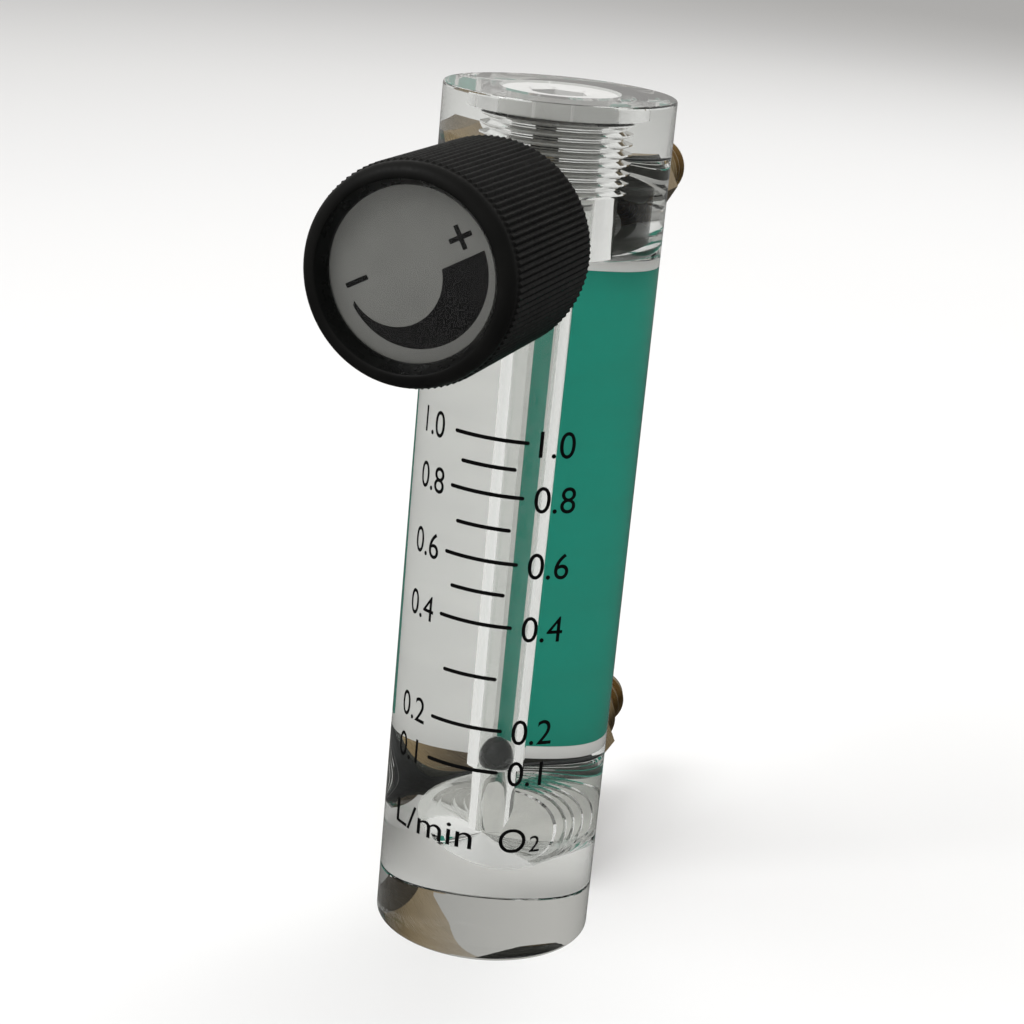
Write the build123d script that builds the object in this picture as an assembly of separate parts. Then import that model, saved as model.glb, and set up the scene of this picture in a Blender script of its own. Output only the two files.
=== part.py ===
from build123d import *
import math
import os

# Clear acrylic gas flowmeter with a needle valve: a variable-area metering tube read by a ball float.
# Millimetres. Origin at the centre of the tube's bottom face, +Z up the tube, knob towards -Y,
# hose fittings towards +Y. Front and rear parts are turned about Z first and then laid along Y.

# Acrylic tube
TUBE_R = 11.0
TUBE_LENGTH = 85.5
TUBE_EDGE = 0.25                 # chamfer round both end faces

# Metering bore: small riser, ball seat, taper, chamber
RISER_R = 1.46
SEAT_Z = 18.1
BORE_BOTTOM_R = 1.87
BORE_TOP_R = 2.2
CHAMBER_FLOOR_Z = 70.5
BALL_R = 1.8

# G 1/8 thread, drawn as separate rings
THREAD_MINOR_R = 4.28
THREAD_MAJOR_R = 4.86
THREAD_PITCH = 0.907
THREAD_CREST = 0.16              # share of the pitch that is flat at the crest and at the root
THREAD_GAP = 0.04                # the male thread is this much smaller in radius

# Port heights and depths, as distances from the tube's axis
LOWER_PORT_Z = 11.25
UPPER_PORT_Z = 74.15
VALVE_Z = 73.3
PORT_MOUTH = 9.5                 # floor of the gasket's counterbore
LOWER_PORT_FLOOR = 1.0           # full diameter ends here and the drill point crosses the axis
UPPER_PORT_FLOOR = 6.0
VALVE_PORT_FLOOR = 5.6
DRILL_POINT = 2.57               # height of a 118 degree point on the tapping drill
LOWER_TURNS = 9                  # tapped turns in the inlet port
UPPER_TURNS = 3                  # tapped turns in the other ports, and turns on every fitting
FLANGE_FACE = 11.3               # underside of each hexagon, just clear of the tube and its label
FITTING_FLATS = 10.0
BONNET_FLATS = 12.0

# Rubber gaskets under the three flanges
GASKET_POCKET_R = 4.95
GASKET_GAP = 0.05
FITTING_NECK_R = 3.0
BONNET_NECK_R = 4.0
NECK_STEP = 0.02                 # the thread stops this far short of the gasket
NECK_OVERLAP = 0.5               # the neck runs this far into the flange

# Top plug
TOP_POCKET_R = 5.75
TOP_POCKET_DEPTH = 2.0
PLUG_TURNS = 7
PLUG_HEAD_R = 5.65
PLUG_HEAD_DROP = 0.2
PLUG_SOCKET_AF = 5.0
PLUG_SOCKET_DEPTH = 3.0
PLUG_NOSE_Z = 75.2
PLUG_GROOVE_R = 3.0
PLUG_RING_CORD_R = 0.63
PLUG_RING_GAP = 0.05
PLUG_NOSE_LAND = 0.4

# Hose fittings
FITTING_HEX_END = 25.0
STUD_R = 4.0
STUD_END = 31.5
STUD_CHAMFER = 0.5
STUD_RELIEF = 0.5                # narrow root behind the hexagon
BARB_LOW_R = 2.6
BARB_HIGH_R = 3.2
BARB_LAND = 0.6
BARB_PITCH = 1.9
BARB_COUNT = 3
BARB_CHAMFER = 0.4
HOSE_BORE_R = 1.6
FILTER_R = 4.2
FILTER_LENGTH = 1.6
FITTING_START = PORT_MOUTH - UPPER_TURNS * THREAD_PITCH

# Bonnet, seal and needle
BONNET_HEX_END = 14.3
BONNET_BORE_R = 3.2
BONNET_REAR = 5.9
STEM_STOP = 12.2                 # shoulder that stops the stem's ring
GLAND_LENGTH = 1.5
PACKING_CORD_R = 0.82
PACKING_MID_R = 2.35
WASHER_THICKNESS = 0.5
NEEDLE_R = 1.5
NEEDLE_HEAD_R = 2.0
NEEDLE_TIP_R = 0.3
NEEDLE_CONE_START = 2.2          # distance behind the tube's axis
NEEDLE_TIP = 5.6
NEEDLE_HEAD_LENGTH = 0.75
NEEDLE_SOCKET = 0.85             # depth of the stem's socket for the needle's head
RUNNING_GAP = 0.05
SEAT_BUSH_R = 2.2
SEAT_BORE_R = 0.9
SEAT_BUSH_START = 4.0
SEAT_BUSH_END = 5.4
ORIFICE_R = 1.2

# Stem
STEM_R = 2.5
STEM_REAR = 10.35
STEM_RING_THICKNESS = 0.6
STEM_RING_R = 3.1
STEM_FLAT = 2.0                  # distance of the D flat from the stem's axis
STEM_FLAT_START = 17.0
STEM_FRONT = 28.9

# Knob
KNOB_R = 9.5
KNOB_REAR = 15.55
KNOB_FRONT = 35.7
KNOB_WALL_R = 8.0                # inside of the skirt
KNOB_WEB_REAR = 28.4
KNOB_RIM_R = 8.15                # crest of the rounded front rim
KNOB_POCKET_R = 7.3
KNOB_POCKET_MOUTH = 34.45
KNOB_POCKET_FLOOR = 33.1
KNURL_TEETH = 84
KNURL_DEPTH = 0.3
KNURL_START = 15.95
KNURL_END = 34.3
HUB_R = 4.9
HUB_REAR = 16.4
INSERT_R = 3.6
RIB_COUNT = 6
RIB_THICKNESS = 1.2
RIB_REAR = 19.0
SCREW_R = 1.5
SCREW_HEAD_R = 2.8
SCREW_TIP = 24.0
SCREW_SEAT = 31.0
SCREW_HEAD_TOP = 32.9
SCREW_HEX_AF = 2.5
DISC_THICKNESS = 0.8
LENS_THICKNESS = 0.5

# Label on the back of the tube
LABEL_HALF_ANGLE = 32.0
LABEL_BOTTOM_Z = 16.2
LABEL_TOP_Z = 69.2
PANEL_HALF_ANGLE = 21.5
PANEL_BOTTOM_Z = 17.6
PANEL_TOP_Z = 67.9
PANEL_THICKNESS = 0.12
LABEL_THICKNESS = 0.25

# Float stop
STOP_THICKNESS = 0.5
STOP_R = 4.24
STOP_HOLE_R = 0.5
STOP_HOLE_CIRCLE_R = 1.3
STOP_HOLES = 4


def to_front(shape, height=VALVE_Z):
    """Lay a part that was turned about Z along -Y, at a height on the tube."""
    return Pos(0, 0, height) * Rot(90, 0, 0) * shape


def to_rear(shape, height):
    """Lay a part that was turned about Z along +Y, at a height on the tube."""
    return Pos(0, 0, height) * Rot(-90, 0, 0) * shape


def turned(outline):
    """Solid of revolution about Z from (radius, height) points."""
    return revolve(Plane.XZ * make_face(Polyline(*outline, close=True)), Axis.Z)


def rod(radius, start, end):
    """Cylinder about Z between two heights."""
    return Pos(0, 0, start) * Cylinder(radius, end - start, align=(Align.CENTER, Align.CENTER, Align.MIN))


def washer(outer, inner, start, end):
    """Plain ring about Z between two heights."""
    return rod(outer, start, end) - rod(inner, start, end)


def hexagon(across_flats, start, end):
    """Six-sided prism about Z between two heights."""
    flat = RegularPolygon(across_flats / 2, 6, major_radius=False)
    return Pos(0, 0, start) * extrude(flat, end - start)


def hex_flange(across_flats, start, end, chamfer_height=0.4):
    """Wrench hexagon with its corners turned off at both ends."""
    corner = across_flats / 2 / math.cos(math.pi / 6)
    low = across_flats / 2 - 0.05
    blank = turned([(0, start), (low, start), (corner, start + chamfer_height),
                    (corner, end - chamfer_height), (low, end), (0, end)])
    return hexagon(across_flats, start, end) & blank


def thread(mouth, turns, gap=0.0):
    """(radius, height) points up the outside of thread rings that end at the mouth's height."""
    minor, major = THREAD_MINOR_R - gap, THREAD_MAJOR_R - gap
    first, last = THREAD_CREST / 2, 1 - THREAD_CREST / 2
    points = []
    for turn in range(turns):
        base = mouth - (turns - turn) * THREAD_PITCH
        points += [(minor, base + first * THREAD_PITCH),
                   (major, base + (0.5 - first) * THREAD_PITCH),
                   (major, base + (0.5 + first) * THREAD_PITCH),
                   (minor, base + last * THREAD_PITCH)]
    return points


def port_cutter(floor, turns):
    """Tapped port: plain drilled end, thread rings, counterbore for the gasket."""
    outline = [(0, floor), (THREAD_MINOR_R, floor)] + thread(PORT_MOUTH, turns)
    outline += [(THREAD_MINOR_R, PORT_MOUTH), (GASKET_POCKET_R, PORT_MOUTH),
                (GASKET_POCKET_R, TUBE_R + 1), (0, TUBE_R + 1)]
    return turned(outline)


def gasket(neck):
    """Rubber ring squeezed square between a counterbore's floor and a flange."""
    return washer(GASKET_POCKET_R - GASKET_GAP, neck + GASKET_GAP, PORT_MOUTH, FLANGE_FACE)


def flow_tube_body():
    """Acrylic rod with the metering bore, the chamber, the top thread and three side ports."""
    blank = turned([(0, 0), (TUBE_R - TUBE_EDGE, 0), (TUBE_R, TUBE_EDGE), (TUBE_R, TUBE_LENGTH - TUBE_EDGE),
                    (TUBE_R - TUBE_EDGE, TUBE_LENGTH), (0, TUBE_LENGTH)])
    mouth = TUBE_LENGTH - TOP_POCKET_DEPTH
    outline = [(0, LOWER_PORT_Z), (RISER_R, LOWER_PORT_Z), (RISER_R, SEAT_Z), (BORE_BOTTOM_R, SEAT_Z),
               (BORE_TOP_R, CHAMBER_FLOOR_Z), (THREAD_MINOR_R, CHAMBER_FLOOR_Z)]
    outline += thread(mouth, PLUG_TURNS + 1)
    outline += [(THREAD_MINOR_R, mouth), (TOP_POCKET_R, mouth), (TOP_POCKET_R, TUBE_LENGTH + 1),
                (0, TUBE_LENGTH + 1)]
    drill_point = Cone(0.001, THREAD_MINOR_R, DRILL_POINT, align=(Align.CENTER, Align.CENTER, Align.MAX))
    lower_port = port_cutter(LOWER_PORT_FLOOR, LOWER_TURNS) + Pos(0, 0, LOWER_PORT_FLOOR) * drill_point
    body = blank - turned(outline)
    body -= to_rear(lower_port, LOWER_PORT_Z)
    body -= to_rear(port_cutter(UPPER_PORT_FLOOR, UPPER_TURNS), UPPER_PORT_Z)
    body -= to_front(port_cutter(VALVE_PORT_FLOOR, UPPER_TURNS))
    body -= to_front(rod(BORE_TOP_R + 0.5, 3.0, VALVE_PORT_FLOOR + 0.1))
    body -= to_rear(rod(SEAT_BUSH_R, 3.0, SEAT_BUSH_END), VALVE_Z)
    body -= to_rear(rod(ORIFICE_R, SEAT_BUSH_END - 0.1, UPPER_PORT_FLOOR + 0.1), VALVE_Z)
    return body


def top_plug():
    """Nylon plug: head in the counterbore with a hex socket, thread and a grooved nose."""
    mouth = TUBE_LENGTH - TOP_POCKET_DEPTH
    top = TUBE_LENGTH - PLUG_HEAD_DROP
    groove_bottom = PLUG_NOSE_Z + PLUG_NOSE_LAND
    groove_top = groove_bottom + 2 * (PLUG_RING_CORD_R + PLUG_RING_GAP)
    minor = THREAD_MINOR_R - THREAD_GAP
    outline = [(0, PLUG_NOSE_Z), (minor - 0.2, PLUG_NOSE_Z), (minor - 0.2, groove_bottom),
               (PLUG_GROOVE_R, groove_bottom), (PLUG_GROOVE_R, groove_top), (minor, groove_top)]
    outline += thread(mouth, PLUG_TURNS, THREAD_GAP)
    outline += [(minor, mouth), (PLUG_HEAD_R, mouth), (PLUG_HEAD_R, top), (0, top)]
    return turned(outline) - hexagon(PLUG_SOCKET_AF, top - PLUG_SOCKET_DEPTH, top)


def top_plug_oring():
    """Seal in the plug's groove, against the chamber's wall."""
    height = PLUG_NOSE_Z + PLUG_NOSE_LAND + PLUG_RING_GAP + PLUG_RING_CORD_R
    return Pos(0, 0, height) * Torus(PLUG_GROOVE_R + PLUG_RING_CORD_R, PLUG_RING_CORD_R)


def float_stop():
    """Perforated disc on the chamber's floor that holds the ball back."""
    disc = rod(STOP_R, CHAMBER_FLOOR_Z, CHAMBER_FLOOR_Z + STOP_THICKNESS)
    hole = rod(STOP_HOLE_R, CHAMBER_FLOOR_Z, CHAMBER_FLOOR_Z + STOP_THICKNESS)
    return disc - PolarLocations(STOP_HOLE_CIRCLE_R, STOP_HOLES) * hole


def float_ball():
    """Ball float at rest on the edge of the riser."""
    rise = math.sqrt(BALL_R ** 2 - RISER_R ** 2)
    return Pos(0, 0, SEAT_Z + rise + 0.02) * Sphere(BALL_R)


def label_sector(inner, outer, half_angle, bottom, top):
    """Curved plate on the back of the tube, centred on +Y."""
    ring = washer(outer, inner, bottom, top)
    reach = 2 * TUBE_R
    left = (-reach * math.sin(math.radians(half_angle)), reach * math.cos(math.radians(half_angle)))
    right = (-left[0], left[1])
    wedge = make_face(Polyline((0, 0), right, (right[0], 2 * reach), (left[0], 2 * reach), left, close=True))
    return ring & Pos(0, 0, bottom) * extrude(wedge, top - bottom)


def label_panel():
    """Coloured face of the label, against the acrylic."""
    return label_sector(TUBE_R, TUBE_R + PANEL_THICKNESS, PANEL_HALF_ANGLE, PANEL_BOTTOM_Z, PANEL_TOP_Z)


def label_backing():
    """White backing round and behind the coloured face."""
    plate = label_sector(TUBE_R, TUBE_R + LABEL_THICKNESS, LABEL_HALF_ANGLE, LABEL_BOTTOM_Z, LABEL_TOP_Z)
    return plate - label_panel()


def hose_fitting(height):
    """Brass fitting: G 1/8 thread, neck for the gasket, long hexagon, panel stud and hose barb."""
    minor = THREAD_MINOR_R - THREAD_GAP
    root = STUD_R - STUD_CHAMFER
    outline = [(0, FITTING_START), (minor, FITTING_START)] + thread(PORT_MOUTH, UPPER_TURNS, THREAD_GAP)
    outline += [(minor, PORT_MOUTH - NECK_STEP), (FITTING_NECK_R, PORT_MOUTH - NECK_STEP),
                (FITTING_NECK_R, FLANGE_FACE + NECK_OVERLAP), (root, FLANGE_FACE + NECK_OVERLAP),
                (root, FITTING_HEX_END + STUD_RELIEF), (STUD_R, FITTING_HEX_END + STUD_RELIEF + STUD_CHAMFER),
                (STUD_R, STUD_END - STUD_CHAMFER), (root, STUD_END),
                (BARB_LOW_R, STUD_END), (BARB_LOW_R, STUD_END + BARB_LAND)]
    for barb in range(BARB_COUNT):
        foot = STUD_END + BARB_LAND + barb * BARB_PITCH
        outline += [(BARB_HIGH_R, foot), (BARB_LOW_R, foot + BARB_PITCH)]
    tip = STUD_END + BARB_LAND + BARB_COUNT * BARB_PITCH + BARB_CHAMFER
    outline += [(BARB_LOW_R - BARB_CHAMFER, tip), (0, tip)]
    fitting = turned(outline) + hex_flange(FITTING_FLATS, FLANGE_FACE, FITTING_HEX_END)
    fitting -= rod(HOSE_BORE_R, FITTING_START - 1, tip + 1)
    return to_rear(fitting, height)


def inlet_filter():
    """White porous disc held in the port by the inlet fitting's inner end."""
    return to_rear(rod(FILTER_R, FITTING_START - FILTER_LENGTH, FITTING_START), LOWER_PORT_Z)


def valve_bonnet():
    """Brass bush in the front port: seal bore behind, threaded stem bore in front."""
    minor = THREAD_MINOR_R - THREAD_GAP
    outline = [(0, BONNET_REAR), (minor, BONNET_REAR)] + thread(PORT_MOUTH, UPPER_TURNS, THREAD_GAP)
    outline += [(minor, PORT_MOUTH - NECK_STEP), (BONNET_NECK_R, PORT_MOUTH - NECK_STEP),
                (BONNET_NECK_R, FLANGE_FACE + NECK_OVERLAP), (0, FLANGE_FACE + NECK_OVERLAP)]
    bonnet = turned(outline) + hex_flange(BONNET_FLATS, FLANGE_FACE, BONNET_HEX_END)
    bonnet -= rod(BONNET_BORE_R, BONNET_REAR - 1, STEM_STOP)
    bonnet -= rod(STEM_R + RUNNING_GAP, STEM_STOP - 0.1, BONNET_HEX_END + 1)
    return to_front(bonnet)


def packing_gland():
    """Bush in the bonnet's rear end that guides the needle."""
    return to_front(washer(BONNET_BORE_R, NEEDLE_R + RUNNING_GAP, BONNET_REAR, BONNET_REAR + GLAND_LENGTH))


def stem_packing_oring():
    """Seal round the needle."""
    middle = BONNET_REAR + GLAND_LENGTH + PACKING_CORD_R
    return to_front(Pos(0, 0, middle) * Torus(PACKING_MID_R, PACKING_CORD_R))


def packing_washer():
    """Washer in front of the needle's seal."""
    start = BONNET_REAR + GLAND_LENGTH + 2 * PACKING_CORD_R + 0.01
    return to_front(washer(BONNET_BORE_R - 0.02, NEEDLE_R + RUNNING_GAP, start, start + WASHER_THICKNESS))


def valve_seat():
    """PTFE bush pressed into the outlet hole; its front edge is the valve seat."""
    return to_rear(washer(SEAT_BUSH_R, SEAT_BORE_R, SEAT_BUSH_START, SEAT_BUSH_END), VALVE_Z)


def valve_needle():
    """Needle with its head caught in the stem. Heights run forward, so the tip is negative."""
    head_start = STEM_REAR + RUNNING_GAP
    head_end = head_start + NEEDLE_HEAD_LENGTH
    return to_front(turned([(0, -NEEDLE_TIP), (NEEDLE_TIP_R, -NEEDLE_TIP), (NEEDLE_R, -NEEDLE_CONE_START),
                            (NEEDLE_R, head_start), (NEEDLE_HEAD_R, head_start),
                            (NEEDLE_HEAD_R, head_end), (0, head_end)]))


def valve_stem():
    """Stem with a socket for the needle's head, a D flat for the knob and a tapped front end."""
    stem = rod(STEM_R, STEM_REAR, STEM_FRONT)
    stem -= rod(NEEDLE_HEAD_R + RUNNING_GAP, STEM_REAR - 1, STEM_REAR + NEEDLE_SOCKET)
    stem -= rod(SCREW_R, SCREW_TIP - 0.5, STEM_FRONT + 1)
    side = 2 * STEM_R
    flat = Pos(0, STEM_FLAT, STEM_FLAT_START) * Box(side, side, STEM_FRONT,
                                                    align=(Align.CENTER, Align.MIN, Align.MIN))
    return to_front(stem - flat)


def stem_retaining_ring():
    """Ring swaged on the stem's rear end: it holds the needle's head and stops the stem in the bonnet."""
    return to_front(washer(STEM_RING_R, NEEDLE_R + RUNNING_GAP, STEM_REAR - STEM_RING_THICKNESS, STEM_REAR))


def knob_insert():
    """Brass insert in the knob's hub, with a D bore on the stem."""
    insert = rod(INSERT_R, HUB_REAR, STEM_FRONT) - rod(STEM_R, HUB_REAR - 1, STEM_FRONT + 1)
    side = 2 * STEM_R
    filler = Pos(0, STEM_FLAT, STEM_FLAT_START) * Box(side, side, STEM_FRONT - STEM_FLAT_START,
                                                      align=(Align.CENTER, Align.MIN, Align.MIN))
    return to_front(insert + (filler & rod(STEM_R, STEM_FLAT_START, STEM_FRONT)))


def knurled_band():
    """Straight-knurled outside of the knob, as one extruded tooth outline."""
    points = []
    for step in range(2 * KNURL_TEETH):
        radius = KNOB_R if step % 2 == 0 else KNOB_R - KNURL_DEPTH
        angle = math.pi * step / KNURL_TEETH
        points.append((radius * math.cos(angle), radius * math.sin(angle)))
    return Pos(0, 0, KNURL_START) * extrude(make_face(Polyline(*points, close=True)), KNURL_END - KNURL_START)


def knob_shell():
    """Knob: knurled skirt, rounded rim, face pocket, ribbed hub."""
    core_r = KNOB_R - KNURL_DEPTH
    rim_round = core_r - KNOB_RIM_R
    rim = Line((core_r, KNURL_END), (core_r, KNOB_FRONT - rim_round))
    round_rim = JernArc(rim @ 1, rim % 1, rim_round, 90)
    crest = Line(round_rim @ 1, (KNOB_RIM_R - 0.15, (round_rim @ 1).Y))
    inside = Polyline(crest @ 1, (KNOB_POCKET_R + 0.05, KNOB_POCKET_MOUTH), (KNOB_POCKET_R + 0.05, KNOB_POCKET_FLOOR),
                      (SCREW_HEAD_R + 0.5, KNOB_POCKET_FLOOR), (SCREW_HEAD_R + 0.5, SCREW_SEAT),
                      (SCREW_R + 0.1, SCREW_SEAT), (SCREW_R + 0.1, STEM_FRONT), (INSERT_R, STEM_FRONT),
                      (INSERT_R, HUB_REAR), (HUB_R, HUB_REAR), (HUB_R, KNOB_WEB_REAR),
                      (KNOB_WALL_R, KNOB_WEB_REAR), (KNOB_WALL_R, KNOB_REAR), (core_r - 0.3, KNOB_REAR),
                      (core_r, KNOB_REAR + 0.3), rim @ 0)
    shell = revolve(Plane.XZ * make_face([rim, round_rim, crest, inside]), Axis.Z)
    shell += knurled_band() - rod(core_r - 0.5, KNURL_START - 1, KNURL_END + 1)
    rib_length = KNOB_WALL_R - HUB_R + 0.4
    rib = Pos(HUB_R - 0.2, 0, RIB_REAR) * Box(rib_length, RIB_THICKNESS, KNOB_WEB_REAR - RIB_REAR + 0.2,
                                              align=(Align.MIN, Align.CENTER, Align.MIN))
    for index in range(RIB_COUNT):
        shell += Rot(0, 0, index * 360 / RIB_COUNT) * rib
    return to_front(shell)


def knob_screw_washer():
    """Washer under the knob screw's head."""
    return to_front(washer(SCREW_HEAD_R + 0.4, SCREW_R + 0.05, SCREW_SEAT, SCREW_SEAT + WASHER_THICKNESS))


def knob_screw():
    """Socket screw that clamps the knob to the stem."""
    head_start = SCREW_SEAT + WASHER_THICKNESS
    edge = 0.25
    screw = turned([(0, SCREW_TIP), (SCREW_R - edge, SCREW_TIP), (SCREW_R, SCREW_TIP + edge),
                    (SCREW_R, head_start), (SCREW_HEAD_R, head_start), (SCREW_HEAD_R, SCREW_HEAD_TOP - edge),
                    (SCREW_HEAD_R - edge, SCREW_HEAD_TOP), (0, SCREW_HEAD_TOP)])
    return to_front(screw - hexagon(SCREW_HEX_AF, SCREW_HEAD_TOP - 1.0, SCREW_HEAD_TOP + 0.1))


def knob_face_disc():
    """Printed disc in the knob's pocket."""
    return to_front(rod(KNOB_POCKET_R, KNOB_POCKET_FLOOR, KNOB_POCKET_FLOOR + DISC_THICKNESS))


def knob_face_lens():
    """Clear cover on the printed disc."""
    start = KNOB_POCKET_FLOOR + DISC_THICKNESS
    return to_front(rod(KNOB_POCKET_R, start, start + LENS_THICKNESS))


NODES = {
    "flow_tube_body": flow_tube_body(),
    "top_plug": top_plug(),
    "top_plug_oring": top_plug_oring(),
    "float_stop": float_stop(),
    "float_ball": float_ball(),
    "label_backing": label_backing(),
    "label_panel": label_panel(),
    "upper_hose_fitting": hose_fitting(UPPER_PORT_Z),
    "upper_fitting_gasket": to_rear(gasket(FITTING_NECK_R), UPPER_PORT_Z),
    "lower_hose_fitting": hose_fitting(LOWER_PORT_Z),
    "lower_fitting_gasket": to_rear(gasket(FITTING_NECK_R), LOWER_PORT_Z),
    "inlet_filter": inlet_filter(),
    "valve_bonnet": valve_bonnet(),
    "bonnet_gasket": to_front(gasket(BONNET_NECK_R)),
    "packing_gland": packing_gland(),
    "stem_packing_oring": stem_packing_oring(),
    "packing_washer": packing_washer(),
    "valve_seat": valve_seat(),
    "valve_needle": valve_needle(),
    "valve_stem": valve_stem(),
    "stem_retaining_ring": stem_retaining_ring(),
    "knob_insert": knob_insert(),
    "knob_shell": knob_shell(),
    "knob_screw_washer": knob_screw_washer(),
    "knob_screw": knob_screw(),
    "knob_face_disc": knob_face_disc(),
    "knob_face_lens": knob_face_lens(),
}

os.makedirs("parts", exist_ok=True)
for name, shape in NODES.items():
    export_step(shape, f"parts/{name}.step")
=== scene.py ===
import math

import bmesh
import bpy
from mathutils import Matrix, Vector


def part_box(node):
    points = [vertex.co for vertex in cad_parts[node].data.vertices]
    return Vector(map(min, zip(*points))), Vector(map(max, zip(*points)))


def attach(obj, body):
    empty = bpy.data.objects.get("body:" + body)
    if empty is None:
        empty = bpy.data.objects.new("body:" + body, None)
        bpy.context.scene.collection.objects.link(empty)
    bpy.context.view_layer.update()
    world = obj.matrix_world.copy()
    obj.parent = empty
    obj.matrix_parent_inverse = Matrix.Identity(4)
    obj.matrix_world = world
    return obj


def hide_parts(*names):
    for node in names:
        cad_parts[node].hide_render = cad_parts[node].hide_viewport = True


# Looks of a clear acrylic gas flowmeter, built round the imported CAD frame. Builders work in millimetres
# and scale to metres when an object is made. Turned pieces are drawn about Z and laid along -Y or +Y.

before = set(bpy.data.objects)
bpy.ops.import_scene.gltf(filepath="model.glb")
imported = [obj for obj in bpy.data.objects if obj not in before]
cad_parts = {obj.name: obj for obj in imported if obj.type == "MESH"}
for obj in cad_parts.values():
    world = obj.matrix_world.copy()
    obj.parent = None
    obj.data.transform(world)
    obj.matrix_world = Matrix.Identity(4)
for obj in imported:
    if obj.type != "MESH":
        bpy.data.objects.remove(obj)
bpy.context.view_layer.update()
MM = 0.001


def middle(node):
    """Centre of a CAD node's box, in millimetres."""
    low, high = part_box(node)
    return (low + high) / 2 / MM


# Places read from the frame
tube_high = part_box("flow_tube_body")[1]
TUBE_R = tube_high.x / MM
TUBE_LENGTH = tube_high.z / MM
VALVE_Z = middle("knob_face_disc").z
UPPER_PORT_Z = middle("upper_fitting_gasket").z
LOWER_PORT_Z = middle("lower_fitting_gasket").z
DISC_FRONT = -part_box("knob_face_disc")[0].y / MM
LENS_FRONT = -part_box("knob_face_lens")[0].y / MM
KNOB_FRONT = -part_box("knob_shell")[0].y / MM
KNOB_REAR = -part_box("knob_shell")[1].y / MM
FITTING_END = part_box("upper_hose_fitting")[1].y / MM
PLUG_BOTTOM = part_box("top_plug")[0].z / MM
PLUG_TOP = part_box("top_plug")[1].z / MM

# Sizes of what the visual pieces repeat from the design
THREAD_MINOR_R = 4.28
THREAD_MAJOR_R = 4.86
THREAD_PITCH = 0.907
THREAD_CREST = 0.16
THREAD_GAP = 0.04
PORT_MOUTH = 9.5
GASKET_POCKET_R = 4.95
NECK_R = 3.0
BONNET_NECK_R = 4.0
FLANGE_FACE = 11.3
HEX_END = 25.0
HEX_FLATS = 10.0
STUD_R = 4.0
STUD_END = 31.5
BARB_LOW_R = 2.6
BARB_HIGH_R = 3.2
BARB_PITCH = 1.9
BARB_COUNT = 3
HOSE_BORE_R = 1.6

# Where each turned piece is laid
UPRIGHT = Matrix.Identity(4)


def forward():
    """Turns +Z to -Y and lifts to the valve's height."""
    return Matrix.Translation((0, 0, VALVE_Z)) @ Matrix.Rotation(math.radians(90), 4, "X")


def backward(height):
    """Turns +Z to +Y and lifts to a height."""
    return Matrix.Translation((0, 0, height)) @ Matrix.Rotation(math.radians(-90), 4, "X")


# ---------------------------------------------------------------- materials

class Surface:
    """A Principled material with short calls for its procedural detail."""

    def __init__(self, name, color, **sockets):
        self.material = bpy.data.materials.new(name)
        self.material.use_nodes = True
        self.tree = self.material.node_tree
        self.shader = self.tree.nodes["Principled BSDF"]
        self.shader.inputs["Base Color"].default_value = (*color, 1)
        for socket, value in sockets.items():
            self.shader.inputs[socket.replace("_", " ")].default_value = value
        self.place = self.tree.nodes.new("ShaderNodeTexCoord").outputs["Object"]

    def stretched(self, scale):
        """Object coordinates, scaled for each axis."""
        node = self.tree.nodes.new("ShaderNodeMapping")
        node.inputs["Scale"].default_value = scale
        self.tree.links.new(self.place, node.inputs["Vector"])
        return node.outputs["Vector"]

    def noise(self, size, stretch=(1, 1, 1), detail=3.0):
        """Noise whose features are about size millimetres across."""
        node = self.tree.nodes.new("ShaderNodeTexNoise")
        node.inputs["Scale"].default_value = 1 / (size * MM)
        node.inputs["Detail"].default_value = detail
        self.tree.links.new(self.stretched(stretch), node.inputs["Vector"])
        return node.outputs["Fac"]

    def remap(self, factor, low, high, start=0.3, end=0.7):
        """A factor's middle range turned into another range."""
        node = self.tree.nodes.new("ShaderNodeMapRange")
        for socket, value in (("From Min", start), ("From Max", end), ("To Min", low), ("To Max", high)):
            node.inputs[socket].default_value = value
        self.tree.links.new(factor, node.inputs["Value"])
        return node.outputs["Result"]

    def colors(self, factor, first, second):
        """Base colour that runs between two colours."""
        node = self.tree.nodes.new("ShaderNodeMix")
        node.data_type = "RGBA"
        node.inputs["A"].default_value = (*first, 1)
        node.inputs["B"].default_value = (*second, 1)
        self.tree.links.new(factor, node.inputs["Factor"])
        self.tree.links.new(node.outputs["Result"], self.shader.inputs["Base Color"])

    def roughness(self, factor, low, high):
        """Roughness that varies with a factor."""
        self.tree.links.new(self.remap(factor, low, high), self.shader.inputs["Roughness"])

    def bump(self, factor, height, strength=1.0):
        """Surface relief of a height in millimetres."""
        node = self.tree.nodes.new("ShaderNodeBump")
        node.inputs["Strength"].default_value = strength
        node.inputs["Distance"].default_value = height * MM
        self.tree.links.new(factor, node.inputs["Height"])
        self.tree.links.new(node.outputs["Normal"], self.shader.inputs["Normal"])


def plastic(name, first, second, low, high, grain, relief, shine=0.5):
    """Moulded plastic, rubber or film: two close colours, uneven gloss and a fine grain."""
    surface = Surface(name, first, Specular_IOR_Level=shine)
    surface.colors(surface.remap(surface.noise(3.0), 0, 1), first, second)
    surface.roughness(surface.noise(grain * 4), low, high)
    surface.bump(surface.noise(grain), relief)
    return surface.material


def turned_metal(name, first, second, low, high, stretch):
    """Metal with fine marks round the axis it was turned on."""
    surface = Surface(name, first, Metallic=1.0)
    surface.colors(surface.remap(surface.noise(2.5), 0, 1), first, second)
    marks = surface.noise(0.25, stretch, 2.0)
    surface.roughness(marks, low, high)
    surface.bump(marks, 0.006, 0.6)
    return surface.material


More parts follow.
